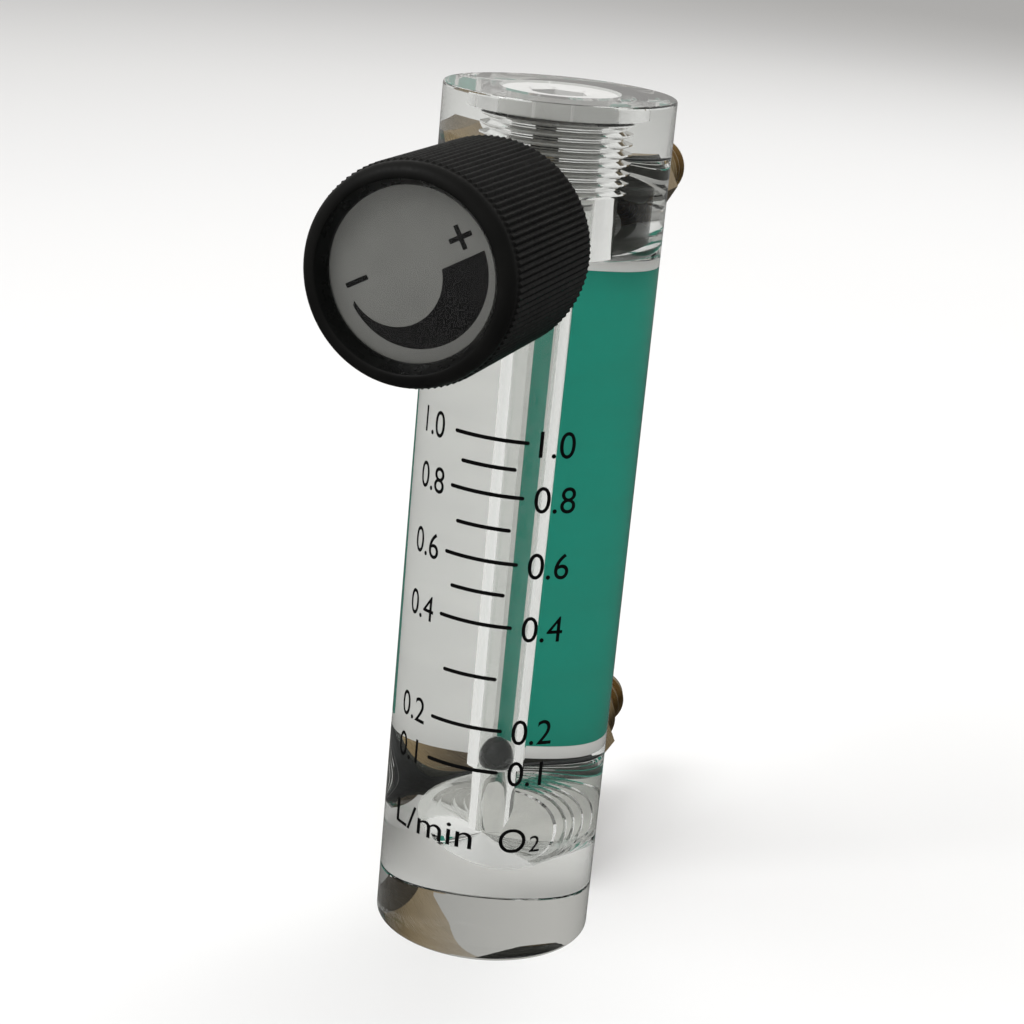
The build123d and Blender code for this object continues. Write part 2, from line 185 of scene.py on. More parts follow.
def clear(name, color, low, high, grain, relief, ior=1.49):
    """Clear plastic with an uneven polish."""
    surface = Surface(name, color, Transmission_Weight=1.0, IOR=ior)
    surface.roughness(surface.noise(grain * 5), low, high)
    surface.bump(surface.noise(grain), relief, 0.5)
    return surface.material


ALONG_Y = (0.25, 6.0, 0.25)
acrylic_polished = clear("acrylic_polished", (0.7, 0.71, 0.69), 0.0, 0.012, 4.0, 0.0004)
acrylic_bored = clear("acrylic_bored", (0.93, 0.94, 0.93), 0.03, 0.1, 0.8, 0.002)
acrylic_cut = clear("acrylic_cut", (0.88, 0.89, 0.87), 0.5, 0.65, 0.5, 0.006)
lens_clear = clear("face_lens_clear", (0.97, 0.97, 0.97), 0.01, 0.03, 2.0, 0.0004, ior=1.2)
nylon = plastic("white_nylon", (0.62, 0.62, 0.61), (0.57, 0.57, 0.56), 0.35, 0.5, 0.15, 0.004)
# Darker copy of the white nylon: painted shade for the plug's sides inside the tube.
nylon_painted_shade = plastic("nylon_painted_shade", (0.4, 0.4, 0.385), (0.36, 0.36, 0.35), 0.4, 0.55, 0.15, 0.004, 0.3)
silicone = plastic("clear_silicone", (0.7, 0.7, 0.68), (0.62, 0.62, 0.6), 0.3, 0.45, 0.2, 0.004)
black_rubber = plastic("black_rubber", (0.01, 0.011, 0.011), (0.018, 0.02, 0.021),
                       0.45, 0.65, 0.1, 0.006, 0.25)
float_black = plastic("float_black", (0.007, 0.008, 0.0078), (0.012, 0.013, 0.0125),
                      0.2, 0.35, 0.3, 0.002, 0.3)
label_white = plastic("label_white", (0.83, 0.83, 0.81), (0.78, 0.78, 0.765), 0.4, 0.55, 0.12, 0.001, 0.2)
label_teal = plastic("label_teal", (0.01, 0.265, 0.19), (0.012, 0.25, 0.178), 0.4, 0.55, 0.12, 0.001, 0.2)
ptfe = plastic("ptfe", (0.82, 0.82, 0.81), (0.76, 0.76, 0.75), 0.35, 0.5, 0.2, 0.003)
knob_black = plastic("knob_black", (0.004, 0.004, 0.0038), (0.0065, 0.0065, 0.006),
                     0.42, 0.56, 0.09, 0.003, 0.09)
knob_gloss = plastic("knob_gloss_black", (0.003, 0.0032, 0.003), (0.0045, 0.0048, 0.0045),
                     0.22, 0.34, 0.3, 0.001, 0.1)
face_grey = plastic("face_grey", (0.155, 0.157, 0.147), (0.14, 0.142, 0.133), 0.45, 0.55, 1.2, 0.0002, 0.1)
ink_black = plastic("ink_black", (0.002, 0.002, 0.002), (0.004, 0.004, 0.004), 0.5, 0.65, 0.3, 0.001, 0.05)
brass = turned_metal("brass", (0.56, 0.42, 0.23), (0.46, 0.34, 0.18), 0.2, 0.36, ALONG_Y)
# Near black for the fittings' parts inside the ports: painted shade, not a colour the brass has.
fitting_painted_shade = plastic("fitting_painted_shade", (0.022, 0.023, 0.019), (0.04, 0.041, 0.035),
                        0.45, 0.7, 0.12, 0.006, 0.2)
filter_white = plastic("filter_white", (0.72, 0.72, 0.69), (0.62, 0.62, 0.6), 0.6, 0.8, 0.18, 0.03, 0.2)
steel = turned_metal("steel", (0.6, 0.6, 0.61), (0.5, 0.5, 0.51), 0.18, 0.34, ALONG_Y)

NODE_MATERIALS = {
    "top_plug_oring": silicone, "float_stop": ptfe, "float_ball": float_black,
    "inlet_filter": filter_white, "valve_bonnet": brass, "packing_gland": ptfe,
    "stem_packing_oring": black_rubber, "packing_washer": brass, "valve_seat": ptfe,
    "valve_needle": steel, "valve_stem": brass, "stem_retaining_ring": steel, "knob_insert": brass,
    "knob_screw_washer": steel, "knob_screw": steel, "knob_face_disc": face_grey,
}
for node, material in NODE_MATERIALS.items():
    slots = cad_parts[node].data.materials
    slots.clear()
    slots.append(material)


# ---------------------------------------------------------------- mesh builders

def soften(outline, radius, steps=3, closed=False):
    """Rounds the corners of an outline. An open outline keeps its two ends."""
    count = len(outline)
    result = []
    for index, corner in enumerate(outline):
        if not closed and index in (0, count - 1):
            result.append(tuple(corner))
            continue
        here = Vector(corner)
        before, after = Vector(outline[index - 1]) - here, Vector(outline[(index + 1) % count]) - here
        start = here + before.normalized() * min(radius, 0.45 * before.length)
        end = here + after.normalized() * min(radius, 0.45 * after.length)
        for step in range(steps + 1):
            t = step / steps
            result.append(tuple(start * (1 - t) ** 2 + here * 2 * t * (1 - t) + end * t ** 2))
    return result


def make_object(name, vertices, faces, place, materials):
    """Mesh object from millimetre vertices, laid in its place and scaled to metres."""
    mesh = bpy.data.meshes.new(name)
    mesh.from_pydata([tuple(place @ Vector(v) * MM) for v in vertices], [], faces)
    for material in materials:
        mesh.materials.append(material)
    mesh.validate()
    item = bpy.data.objects.new(name, mesh)
    bpy.context.scene.collection.objects.link(item)
    return item


def shade(item, angle=32.0):
    """Smooth shading that keeps sharp edges and flat faces."""
    item.data.shade_smooth()
    item.data.set_sharp_from_angle(angle=math.radians(angle))
    weighting = item.modifiers.new("weighted_normals", "WEIGHTED_NORMAL")
    weighting.keep_sharp = True
    return item


def ring_faces(rings, sides, wrap):
    """Quads and triangles between rings; a ring with one vertex is a pole."""
    faces = []
    pairs = list(zip(rings, rings[1:]))
    if wrap:
        pairs.append((rings[-1], rings[0]))
    for low, high in pairs:
        for k in range(sides):
            n = (k + 1) % sides
            corners = [low[k % len(low)], low[n % len(low)], high[n % len(high)], high[k % len(high)]]
            face = list(dict.fromkeys(corners))
            if len(face) > 2:
                faces.append(face)
    return faces


def turned(name, outline, place, materials, sides=160, wrap=False, bump=None):
    """Solid of revolution from (radius, height) points. bump(angle, radius, height) gives a new radius."""
    vertices, rings = [], []
    for radius, height in outline:
        ring = []
        for k in range(sides if radius > 1e-6 else 1):
            angle = 2 * math.pi * k / sides
            r = bump(angle, radius, height) if bump else radius
            ring.append(len(vertices))
            vertices.append((r * math.cos(angle), r * math.sin(angle), height))
        rings.append(ring)
    return make_object(name, vertices, ring_faces(rings, sides, wrap), place, materials)


def helix_ridge(name, minor, major, pitch, start, end, place, materials, steps=72):
    """Thread ridge wound on a cylinder, running out to nothing at both ends."""
    turns = (end - start) / pitch
    total = int(turns * steps)
    section = ((-0.46, 0.0), (-0.08, 1.0), (0.08, 1.0), (0.46, 0.0))
    vertices, faces = [], []
    for index in range(total + 1):
        angle = 2 * math.pi * index / steps
        fade = min(1.0, index / (0.4 * steps), (total - index) / (0.4 * steps))
        height = start + pitch * index / steps
        for along, rise in section:
            radius = minor - 0.05 + (major - minor + 0.05) * rise * max(fade, 0.02)
            vertices.append((radius * math.cos(angle), radius * math.sin(angle), height + along * pitch))
    width = len(section)
    for index in range(total):
        a, b = index * width, (index + 1) * width
        for k in range(width):
            n = (k + 1) % width
            faces.append([a + k, b + k, b + n, a + n])
    faces.append(list(range(width)))
    faces.append([total * width + k for k in reversed(range(width))])
    return make_object(name, vertices, faces, place, materials)


def join(items, name):
    """One object from several."""
    bpy.ops.object.select_all(action="DESELECT")
    for item in items:
        item.select_set(True)
    bpy.context.view_layer.objects.active = items[0]
    bpy.ops.object.join()
    items[0].name = items[0].data.name = name
    return items[0]


def thread_rings(mouth, turns, gap=0.0):
    """(radius, height) points of thread rings that end at the mouth's height."""
    minor, major = THREAD_MINOR_R - gap, THREAD_MAJOR_R - gap
    crest = THREAD_CREST / 2
    points = []
    for turn in range(turns):
        base = mouth - (turns - turn) * THREAD_PITCH
        profile = ((crest, minor), (0.5 - crest, major), (0.5 + crest, major), (1 - crest, minor))
        for share, radius in profile:
            points.append((radius, base + share * THREAD_PITCH))
    return points


# ---------------------------------------------------------------- acrylic tube

RISER_R = 1.46
SEAT_Z = 18.1
BORE_BOTTOM_R = 1.87
BORE_TOP_R = 2.2
CHAMBER_FLOOR_Z = 70.5
TOP_POCKET_R = 5.75
HEAD_R = 5.65
TOP_POCKET_DEPTH = 2.0
TOP_TURNS = 8
LOWER_FLOOR = 1.0
LOWER_TURNS = 9
UPPER_FLOOR = 6.0
UPPER_TURNS = 3
VALVE_FLOOR = 5.6
DRILL_POINT = 2.57
CROSS_HOLE_R = 2.7
SEAT_HOLE_R = 2.2
ORIFICE_R = 1.2
CROSS_HOLE_FLOOR = 3.0
SEAT_HOLE_END = 5.4
HOLE_OVERLAP = 0.1
TUBE_EDGE = 0.3
WALL_MARGIN = 0.08


def port_outline(floor, turns, point=0.0):
    """Tapped port with a flat or drilled floor and a counterbore."""
    outline = [(0, floor - point), (THREAD_MINOR_R, floor)] + thread_rings(PORT_MOUTH, turns)
    return outline + [(THREAD_MINOR_R, PORT_MOUTH), (GASKET_POCKET_R, PORT_MOUTH),
                      (GASKET_POCKET_R, TUBE_R + 1), (0, TUBE_R + 1)]


def drilled(radius, start, end):
    """Plain round hole."""
    return [(0, start), (radius, start), (radius, end), (0, end)]


def tube_cuts():
    """(outline, place) of each hole in the tube."""
    mouth = TUBE_LENGTH - TOP_POCKET_DEPTH
    bore = [(0, LOWER_PORT_Z), (RISER_R, LOWER_PORT_Z), (RISER_R, SEAT_Z), (BORE_BOTTOM_R, SEAT_Z),
            (BORE_TOP_R, CHAMBER_FLOOR_Z), (THREAD_MINOR_R, CHAMBER_FLOOR_Z)]
    bore += thread_rings(mouth, TOP_TURNS)
    bore += [(THREAD_MINOR_R, mouth), (TOP_POCKET_R, mouth), (TOP_POCKET_R, TUBE_LENGTH + 1),
             (0, TUBE_LENGTH + 1)]
    return [
        (bore, UPRIGHT),
        (port_outline(LOWER_FLOOR, LOWER_TURNS, DRILL_POINT), backward(LOWER_PORT_Z)),
        (port_outline(UPPER_FLOOR, UPPER_TURNS), backward(UPPER_PORT_Z)),
        (port_outline(VALVE_FLOOR, UPPER_TURNS), forward()),
        (drilled(CROSS_HOLE_R, CROSS_HOLE_FLOOR, VALVE_FLOOR + HOLE_OVERLAP), forward()),
        (drilled(SEAT_HOLE_R, CROSS_HOLE_FLOOR, SEAT_HOLE_END), backward(VALVE_Z)),
        (drilled(ORIFICE_R, SEAT_HOLE_END - HOLE_OVERLAP, UPPER_FLOOR + HOLE_OVERLAP), backward(VALVE_Z)),
    ]


def is_threaded(height, place):
    """True where a hole's wall is tapped."""
    if place is UPRIGHT:
        mouth = TUBE_LENGTH - TOP_POCKET_DEPTH
        return mouth - TOP_TURNS * THREAD_PITCH < height < mouth
    return height < PORT_MOUTH


def revolved_normals(mesh, places):
    """Exact corner normals for faces that each belong to a surface of revolution, and their finishes.
    A face's material index says which axis it turns about."""
    normals = [None] * len(mesh.loops)
    finishes = []
    for face in mesh.polygons:
        place = places[face.material_index]
        origin = place.translation * MM
        axis = (place.to_3x3() @ Vector((0, 0, 1))).normalized()
        along = face.normal.dot(axis)
        outward = face.center - origin
        outward -= axis * outward.dot(axis)
        side = math.copysign(math.sqrt(max(0.0, 1 - along * along)), face.normal.dot(outward))
        for loop in face.loop_indices:
            arm = mesh.vertices[mesh.loops[loop].vertex_index].co - origin
            arm -= axis * arm.dot(axis)
            if arm.length < 1e-7:
                normals[loop] = face.normal.copy()
            else:
                normals[loop] = (axis * along + arm.normalized() * side).normalized()
        height = (face.center - origin).dot(axis) / MM
        if face.material_index == 0:
            finishes.append(0)
        else:
            wall = outward.length > (THREAD_MINOR_R - WALL_MARGIN) * MM
            finishes.append(2 if wall and is_threaded(height, place) else 1)
    for face, finish in zip(mesh.polygons, finishes):
        face.use_smooth = True
        face.material_index = finish
    mesh.normals_split_custom_set(normals)


def acrylic_tube():
    """Clear rod with every hole cut through it."""
    blank = [(0, 0), (TUBE_R, 0), (TUBE_R, TUBE_LENGTH), (0, TUBE_LENGTH)]
    markers = [bpy.data.materials.new("cut_marker") for _ in range(len(tube_cuts()) + 1)]
    tube = turned("acrylic_tube", soften(blank, TUBE_EDGE, 4), UPRIGHT, [markers[0]], sides=288)
    cutters = []
    for (outline, place), marker in zip(tube_cuts(), markers[1:]):
        cutter = turned("cutter", outline, place, [marker], sides=144)
        cutters.append(cutter)
        cut = tube.modifiers.new("cut", "BOOLEAN")
        cut.operation, cut.solver, cut.object, cut.material_mode = "DIFFERENCE", "EXACT", cutter, "TRANSFER"
    bpy.context.view_layer.update()
    solid = bpy.data.meshes.new_from_object(tube.evaluated_get(bpy.context.evaluated_depsgraph_get()))
    tube.modifiers.clear()
    places = [UPRIGHT] + [place for _, place in tube_cuts()]
    order = {marker.name: place for marker, place in zip(markers, places)}
    revolved_normals(solid, [order[m.name] for m in solid.materials])
    solid.materials.clear()
    for material in (acrylic_polished, acrylic_bored, acrylic_cut):
        solid.materials.append(material)
    tube.data = solid
    for cutter in cutters:
        bpy.data.objects.remove(cutter)
    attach(tube, "root")
    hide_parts("flow_tube_body")
    return tube


# ---------------------------------------------------------------- print and label on the tube

def strip_mesh(flat, step=0.25):
    """Splits a flat mesh into narrow upright strips, so that it can bend round the tube."""
    xs = [v.co.x for v in flat.verts]
    x = min(xs) + step
    while x < max(xs):
        everything = list(flat.verts) + list(flat.edges) + list(flat.faces)
        bmesh.ops.bisect_plane(flat, geom=everything, plane_co=(x, 0, 0), plane_no=(1, 0, 0))
        x += step


def wrap(name, flat, radius, thickness, facing, material):
    """Bends a flat millimetre mesh (x along the girth, y up) round the tube's front (-1) or back (+1)."""
    strip_mesh(flat)
    for vert in flat.verts:
        angle = vert.co.x / radius
        way = Vector((-math.sin(angle) * facing, math.cos(angle) * facing, 0))
        height = Vector((0, 0, vert.co.y))
        vert.co = way * (radius + thickness) + height
    copies = bmesh.ops.extrude_face_region(flat, geom=list(flat.faces), use_keep_orig=True)
    fresh = [item for item in copies["geom"] if isinstance(item, bmesh.types.BMVert)]
    for vert in fresh:
        way = Vector((vert.co.x, vert.co.y, 0)).normalized()
        vert.co -= way * thickness
    bmesh.ops.recalc_face_normals(flat, faces=list(flat.faces))
    mesh = bpy.data.meshes.new(name)
    flat.to_mesh(mesh)
    flat.free()
    mesh.transform(Matrix.Scale(MM, 4))
    mesh.materials.append(material)
    item = bpy.data.objects.new(name, mesh)
    bpy.context.scene.collection.objects.link(item)
    mesh.shade_smooth()
    mesh.set_sharp_from_angle(angle=math.radians(40))
    return item


def flat_shape(points):
    """Flat mesh with one face."""
    flat = bmesh.new()
    flat.faces.new([flat.verts.new((x, y, 0)) for x, y in points])
    return flat


def flat_text(words, left, bottom, height, width_scale):
    """Flat mesh of a text whose capitals have a height in millimetres."""
    curve = bpy.data.curves.new("words", "FONT")
    curve.body = words
    curve.resolution_u = 8
    item = bpy.data.objects.new("words", curve)
    bpy.context.scene.collection.objects.link(item)
    bpy.context.view_layer.update()
    mesh = bpy.data.meshes.new_from_object(item.evaluated_get(bpy.context.evaluated_depsgraph_get()))
    bpy.data.objects.remove(item)
    size = height / CAPITAL_HEIGHT
    start = min(v.co.x for v in mesh.vertices)
    for vert in mesh.vertices:
        vert.co = Vector((left + (vert.co.x - start) * size * width_scale, bottom + vert.co.y * size, 0))
    flat = bmesh.new()
    flat.from_mesh(mesh)
    bmesh.ops.remove_doubles(flat, verts=list(flat.verts), dist=1e-5)
    return flat


def rounded_box(left, right, bottom, top, radius, steps=6):
    """Points of a rectangle with round corners."""
    centres = ((right - radius, bottom + radius, -90), (right - radius, top - radius, 0),
               (left + radius, top - radius, 90), (left + radius, bottom + radius, 180))
    points = []
    for x, y, first in centres:
        for step in range(steps + 1):
            angle = math.radians(first + 90 * step / steps)
            points.append((x + radius * math.cos(angle), y + radius * math.sin(angle)))
    return points


CAPITAL_HEIGHT = 0.7
LINE_THICKNESS = 0.38
LONG_LINE_ANGLE = 19.7
SHORT_LINE_ANGLE = 14.6
LONG_LINES = {"1.0": 54.1, "0.8": 48.7, "0.6": 42.1, "0.4": 35.7, "0.2": 25.0, "0.1": 20.6}
SHORT_LINES = (51.4, 45.4, 38.9, 30.3)
FIGURE_HEIGHT = 2.6
RIGHT_FIGURES = (24.6, 0.95)
LEFT_FIGURES = (-43.5, 0.86)
UNITS_Z = 12.1
UNIT_WORDS = (("L/min", -40.5, 1.0, 1.22), ("O", 23.4, 1.0, 1.0), ("2", 39.8, 0.68, 1.0))
INK_SUNK = 0.01
INK_THICKNESS = 0.025


def girth(angle):
    """Distance round the tube for an angle in degrees."""
    return math.radians(angle) * TUBE_R


def scale_print():
    """Ruled scale and figures printed on the front of the tube."""
    radius = TUBE_R - INK_SUNK
    pieces = []

    def ink(flat):
        pieces.append(wrap("ink", flat, radius, INK_THICKNESS, -1, ink_black))

    half = LINE_THICKNESS / 2
    for angle, heights in ((LONG_LINE_ANGLE, LONG_LINES.values()), (SHORT_LINE_ANGLE, SHORT_LINES)):
        reach = girth(angle)
        for height in heights:
            ink(flat_shape(rounded_box(-reach, reach, height - half, height + half, half * 0.98)))
    for words, height in LONG_LINES.items():
        bottom = height - FIGURE_HEIGHT / 2
        for angle, width in (RIGHT_FIGURES, LEFT_FIGURES):
            ink(flat_text(words, girth(angle), bottom, FIGURE_HEIGHT, width))
    for words, angle, size, width in UNIT_WORDS:
        ink(flat_text(words, girth(angle), UNITS_Z, FIGURE_HEIGHT * size, width))
    printed = join(pieces, "scale_print")
    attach(printed, "root")


# Half angle, bottom, top and corner radius of each layer of the label
BACKING = (32, 16.2, 69.2, 0.6)
PANEL = (21.5, 17.6, 67.9, 0.4)


def label_layer(half_angle, bottom, top, corner):
    """Flat rectangle of one layer, centred on the back of the tube."""
    return flat_shape(rounded_box(-girth(half_angle), girth(half_angle), bottom, top, corner))


def label():
    """Film on the back of the tube: its coloured face is stuck to the acrylic."""
    sunk, film = 0.03, 0.28
    backing = label_layer(*BACKING)
    backing = wrap("label_film", backing, TUBE_R - sunk, film - 0.01, 1, label_white)
    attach(backing, "root")
    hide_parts("label_backing")
    panel = label_layer(*PANEL)
    panel = wrap("label_print", panel, TUBE_R - 2 * sunk, sunk * 0.9, 1, label_teal)
    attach(panel, "root")
    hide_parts("label_panel")


# ---------------------------------------------------------------- plug and hose fittings

def hexagon_radius(angle, flats):
    """Radius of a hexagon with a corner at angle 0."""
    return flats / 2 / math.cos(angle % math.radians(60) - math.radians(30))


def top_plug():
    """White nylon plug with a head, thread rings and a hex socket; below the tube's mouth it wears a darker
    copy of its nylon as painted shade.
    """
    socket_flats, socket_depth, point = 5.0, 3.0, 0.6
    groove_r, groove_width, nose_land = 3.0, 1.36, 0.4
    edge, lead = 0.1, 0.2
    minor = THREAD_MINOR_R - THREAD_GAP
    mouth = TUBE_LENGTH - TOP_POCKET_DEPTH
    groove = (PLUG_BOTTOM + nose_land, PLUG_BOTTOM + nose_land + groove_width)
    outline = [(0, PLUG_BOTTOM), (minor - lead, PLUG_BOTTOM), (minor - lead, groove[0]),
               (groove_r, groove[0]), (groove_r, groove[1]), (minor, groove[1])]
    outline += thread_rings(mouth, TOP_TURNS - 1, THREAD_GAP)
    corner = socket_flats / 2 / math.cos(math.radians(30))
    outline += [(minor, mouth), (HEAD_R - edge, mouth), (HEAD_R, mouth + edge), (HEAD_R, PLUG_TOP - lead),
                (HEAD_R - lead, PLUG_TOP), (corner + lead, PLUG_TOP), (corner, PLUG_TOP - lead),
                (corner, PLUG_TOP - socket_depth), (0, PLUG_TOP - socket_depth - point)]

    def socket(angle, radius, height):
        return hexagon_radius(angle, socket_flats) if radius == corner else radius

    plug = turned("nylon_plug", outline, UPRIGHT, [nylon, nylon_painted_shade], sides=144, bump=socket)
    # Faces below the mouth and outside the groove take the darker nylon: painted shade where the tube hides
    # the plug.
    for face in plug.data.polygons:
        away = math.hypot(face.center.x, face.center.y) / MM
        face.material_index = int(face.center.z / MM < mouth and away > groove_r)
    plug = shade(plug)
    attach(plug, "root")
    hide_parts("top_plug")


def hose_fitting(name, node, turns, height):
    """Brass fitting: inner thread, neck, wrench hexagon, panel thread and hose barb; the inner thread, neck
    and hexagon's front face are painted near black as shade.
    """
    minor = THREAD_MINOR_R - THREAD_GAP
    corner = HEX_FLATS / 2 / math.cos(math.radians(30))
    thread_depth, relief_depth, thread_pitch = 0.45, 0.1, 1.0
    root_r = STUD_R - thread_depth
    start = PORT_MOUTH - turns * THREAD_PITCH
    outline = [(HOSE_BORE_R, start), (minor, start)] + thread_rings(PORT_MOUTH, turns, THREAD_GAP)
    outline += [(minor, PORT_MOUTH - 0.02), (NECK_R, PORT_MOUTH - 0.02), (NECK_R, FLANGE_FACE)]
    chamfer, steps, face_r = 0.4, 5, HEX_FLATS / 2 - 0.1
    for step in range(steps + 1):
        share = step / steps
        outline.append((face_r + (corner - face_r) * share, FLANGE_FACE + chamfer * share))
    for step in range(steps + 1):
        share = 1 - step / steps
        outline.append((face_r + (corner - face_r) * share, HEX_END - chamfer * share))
    outline += [(root_r - relief_depth, HEX_END), (root_r - relief_depth, HEX_END + 0.6),
                (root_r, HEX_END + 0.8)]
    outline += [(root_r, STUD_END - 0.5), (root_r - 0.4, STUD_END), (BARB_LOW_R, STUD_END)]
    foot = STUD_END + 0.6
    outline.append((BARB_LOW_R, foot))
    for _ in range(BARB_COUNT):
        outline += [(BARB_HIGH_R, foot + 0.05), (BARB_HIGH_R, foot + 0.25), (BARB_LOW_R, foot + BARB_PITCH)]
        foot += BARB_PITCH
    outline += [(BARB_LOW_R - 0.3, FITTING_END), (HOSE_BORE_R + 0.15, FITTING_END),
                (HOSE_BORE_R, FITTING_END - 0.2)]

    def wrench_flats(angle, radius, along):
        if FLANGE_FACE - 0.01 <= along <= HEX_END + 0.01 and radius > face_r - 0.1:
            return min(radius, hexagon_radius(angle, HEX_FLATS))
        return radius

    place = backward(height)
    body = turned(name, outline, place, [brass, fitting_painted_shade], sides=192, wrap=True, bump=wrench_flats)
    # Faces up to the hexagon's front chamfer take the near-black material: painted shade inside the port.
    for face in body.data.polygons:
        face.material_index = int(face.center.y / MM < FLANGE_FACE + chamfer)
    ridge = helix_ridge("ridge", root_r, STUD_R, thread_pitch, HEX_END + 1.3, STUD_END - 0.7, place, [brass])
    fitting = shade(join([body, ridge], name))
    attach(fitting, "root")
    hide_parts(node)


def gasket(node, place, neck):
    """Rubber ring pressed against the walls of its counterbore, so that its black shows through them."""
    pressed, bulge = 0.03, 0.12
    outer = GASKET_POCKET_R + pressed
    inner = neck + 0.05
    section = [(inner, FLANGE_FACE), (inner, PORT_MOUTH - pressed), (outer, PORT_MOUTH - pressed),
               (outer, TUBE_R - bulge), (outer, FLANGE_FACE)]
    ring = shade(turned(node.replace("gasket", "seal"), soften(section, 0.08, 3, closed=True), place,
                        [black_rubber], sides=144, wrap=True))
    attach(ring, "root")
    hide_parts(node)


# ---------------------------------------------------------------- knob

KNOB_CORE_R = 9.3
KNURL_TEETH = 104
KNURL_DEPTH = 0.2
KNURL_START = 15.95
KNURL_END = 34.3
POCKET_R = 7.35
SKIRT_R = 8.0
WEB_REAR = 28.4
HUB_R = 4.9
HUB_REAR = 16.4
INSERT_R = 3.6
STEM_FRONT = 28.9
SCREW_HOLE_R = 1.6
SCREW_POCKET_R = 3.3
SCREW_SEAT = 31.0
POCKET_FLOOR = 33.1
RIM_CREST_R = 8.2
KNURL_FADE = 0.25
RIB_COUNT = 6
RIB_HALF_WIDTH = 0.6
RIB_REAR = 19.0
RIB_OVERLAP = 0.2


def knurl(angle, radius, height):
    """Fine straight knurl on the outside of the skirt."""
    if radius < KNOB_CORE_R - 1e-4 or not KNURL_START < height < KNURL_END:
        return radius
    fade = min(1.0, (height - KNURL_START) / KNURL_FADE, (KNURL_END - height) / KNURL_FADE)
    wave = 0.5 + 0.5 * math.cos(KNURL_TEETH * angle)
    return radius + KNURL_DEPTH * fade * wave ** 0.8


def knob():
    """Knurled skirt with a round rim, a glossy funnel round the face and a ribbed hub behind."""
    outside = [(KNOB_CORE_R - 0.3, KNOB_REAR), (KNOB_CORE_R, KNOB_REAR + 0.3), (KNOB_CORE_R, KNURL_START)]
    for height in (0.08, 0.17, KNURL_FADE):
        outside.append((KNOB_CORE_R, KNURL_START + height))
    for height in (KNURL_FADE, 0.17, 0.08, 0.0):
        outside.append((KNOB_CORE_R, KNURL_END - height))
    round_r = KNOB_CORE_R - RIM_CREST_R
    for step in range(9):
        angle = math.radians(90 * step / 8)
        outside.append((RIM_CREST_R + round_r * math.cos(angle),
                        KNOB_FRONT - round_r + round_r * math.sin(angle)))
    funnel = [(RIM_CREST_R, KNOB_FRONT), (RIM_CREST_R - 0.2, KNOB_FRONT - 0.05), (POCKET_R, LENS_FRONT),
              (POCKET_R, POCKET_FLOOR)]
    funnel = soften(funnel, 0.1, 2)[1:]
    inside = [(SCREW_POCKET_R, POCKET_FLOOR), (SCREW_POCKET_R, SCREW_SEAT), (SCREW_HOLE_R, SCREW_SEAT),
              (SCREW_HOLE_R, STEM_FRONT), (INSERT_R, STEM_FRONT), (INSERT_R, HUB_REAR + 0.15),
              (INSERT_R + 0.15, HUB_REAR), (HUB_R - 0.2, HUB_REAR), (HUB_R, HUB_REAR + 0.2),
              (HUB_R + 0.05, WEB_REAR), (SKIRT_R, WEB_REAR), (SKIRT_R, KNOB_REAR + 0.2),
              (SKIRT_R + 0.2, KNOB_REAR)]
    shell = turned("knob_body", outside + funnel + inside, forward(), [knob_black, knob_gloss],
                   sides=KNURL_TEETH * 8, wrap=True, bump=knurl)
    for face in shell.data.polygons:
        centre = face.center / MM
        away = math.hypot(centre.x, centre.z - VALVE_Z)
        if away < RIM_CREST_R - 0.15 and -centre.y > LENS_FRONT - 0.2:
            face.material_index = 1
    near, far = HUB_R - RIB_OVERLAP, SKIRT_R + RIB_OVERLAP
    plan = ((near, -RIB_HALF_WIDTH), (far, -RIB_HALF_WIDTH), (far, RIB_HALF_WIDTH), (near, RIB_HALF_WIDTH))
    corners = [(x, y, z) for z in (RIB_REAR, WEB_REAR + RIB_OVERLAP) for x, y in plan]
    sides = [[3, 2, 1, 0], [4, 5, 6, 7], [0, 1, 5, 4], [1, 2, 6, 5], [2, 3, 7, 6], [3, 0, 4, 7]]
    ribs = []
    for index in range(RIB_COUNT):
        turn = forward() @ Matrix.Rotation(math.radians(360 / RIB_COUNT * index), 4, "Z")
        ribs.append(make_object("rib", corners, sides, turn, [knob_black]))
    shell = shade(join([shell] + ribs, "knob_body"), 50)
    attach(shell, "knob")
    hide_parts("knob_shell")


def face_lens():
    """Thin clear cover, slightly crowned, over the printed face."""
    start, edge_r = DISC_FRONT + 0.06, POCKET_R - 0.06
    crown = 0.12
    outline = [(0, start), (edge_r, start), (edge_r, LENS_FRONT - crown - 0.12),
               (edge_r - 0.1, LENS_FRONT - crown)]
    for step in range(1, 13):
        share = 1 - step / 12
        outline.append(((edge_r - 0.1) * share, LENS_FRONT - crown * share ** 2))
    lens = shade(turned("face_lens", outline, forward(), [lens_clear], sides=144))
    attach(lens, "knob")
    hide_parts("knob_face_lens")
    return lens


def arc(centre, radius, first, last, steps):
    """Points along an arc, angles in degrees."""
    points = []
    for step in range(steps + 1):
        angle = math.radians(first + (last - first) * step / steps)
        points.append((centre[0] + radius * math.cos(angle), centre[1] + radius * math.sin(angle)))
    return points


